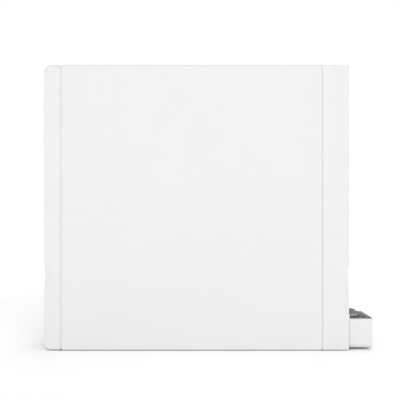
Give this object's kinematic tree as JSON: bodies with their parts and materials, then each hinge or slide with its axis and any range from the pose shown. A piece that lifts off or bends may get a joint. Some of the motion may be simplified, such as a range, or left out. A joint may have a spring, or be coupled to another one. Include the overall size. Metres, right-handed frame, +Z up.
{
  "type": "wall battery unit",
  "caption": "Flat white home battery in three sections with a hinged side service door, wall bracket and low cable entry box.",
  "frame": {"origin": "on the floor, under the middle of the unit's overall width and depth, with the wiring box counted in", "axes": "+X to the right seen from the front, +Y from the front towards the wall, +Z up"},
  "size_m": [0.8, 0.206, 0.695],
  "materials": {
    "case_white": "satin fine-texture powder coat",
    "light_plastic": "matte moulded",
    "dark_plastic": "matte moulded, glass filled",
    "grey_plastic": "matte moulded",
    "black_plastic": "matte moulded",
    "soft_rubber": "matte",
    "zinc_steel": "zinc plated",
    "nickel": "nickel plated brass",
    "aluminium": "as extruded",
    "cell_film": "aluminium can in a satin blue film",
    "busbar_copper": "bare copper, slightly dull",
    "circuit_board": "solder mask",
    "lens_green": "tinted, clear",
    "fuse_ceramic": "glazed"
  },
  "bodies": {
    "case": {"left_end_cap": "case_white", "front_shell": "case_white", "right_end_frame": "case_white", "wiring_box": "case_white", "wiring_flange": "case_white", "grip_cup": "light_plastic", "bay_tub": "light_plastic", "breaker_body": "dark_plastic", "control_panel": "dark_plastic", "gland_plate": "dark_plastic", "breather_vent": "dark_plastic", "main_contactor": "black_plastic", "precharge_contactor": "black_plastic", "terminal_block": "black_plastic", "door_seal": "soft_rubber", "port_dust_cap": "soft_rubber", "lower_spacer": "soft_rubber", "front_foot": "soft_rubber", "rear_foot": "soft_rubber", "power_gland_nut": "grey_plastic", "gland_plug": "grey_plastic", "comm_gland": "grey_plastic", "duct_rail": "grey_plastic", "back_plate": "zinc_steel", "door_pin_lower": "zinc_steel", "door_pin_upper": "zinc_steel", "hang_rail": "zinc_steel", "wall_bracket": "zinc_steel", "lower_module_frame": "zinc_steel", "upper_module_frame": "zinc_steel", "power_gland_body": "nickel", "heat_sink": "aluminium", "heat_spreader": "aluminium", "lower_cell_1": "cell_film", "lower_cell_2": "cell_film", "lower_cell_3": "cell_film", "lower_cell_4": "cell_film", "lower_cell_5": "cell_film", "lower_cell_6": "cell_film", "lower_cell_7": "cell_film", "lower_cell_8": "cell_film", "upper_cell_1": "cell_film", "upper_cell_2": "cell_film", "upper_cell_3": "cell_film", "upper_cell_4": "cell_film", "upper_cell_5": "cell_film", "upper_cell_6": "cell_film", "upper_cell_7": "cell_film", "upper_cell_8": "cell_film", "lower_busbar_carrier": "busbar_copper", "upper_busbar_carrier": "busbar_copper", "positive_bar": "busbar_copper", "negative_bar": "busbar_copper", "bms_board": "circuit_board", "status_lens": "lens_green", "main_fuse": "fuse_ceramic"},
    "door": {"service_door": "case_white"},
    "latch": {"door_latch": "light_plastic"},
    "lever": {"breaker_lever": "black_plastic"},
    "button": {"power_button": "light_plastic"}
  },
  "joints": [
    {"name": "door_hinge", "type": "hinge", "parent": "case", "child": "door", "pos_m": [0.3375, -0.0645, 0.467], "axis": [0, 0, -1], "range_deg": [0, 100]},
    {"name": "latch_turn", "type": "hinge", "parent": "door", "child": "latch", "pos_m": [0.339, 0.034, 0.467], "axis": [1, 0, 0], "range_deg": [0, 90]},
    {"name": "breaker_throw", "type": "hinge", "parent": "case", "child": "lever", "pos_m": [0.305, -0.019, 0.515], "axis": [0, 1, 0], "range_deg": [0, 50]},
    {"name": "button_press", "type": "slide", "parent": "case", "child": "button", "axis": [-1, 0, 0], "range_m": [0, 0.0025], "stiffness_N_per_m": 700}
  ]
}
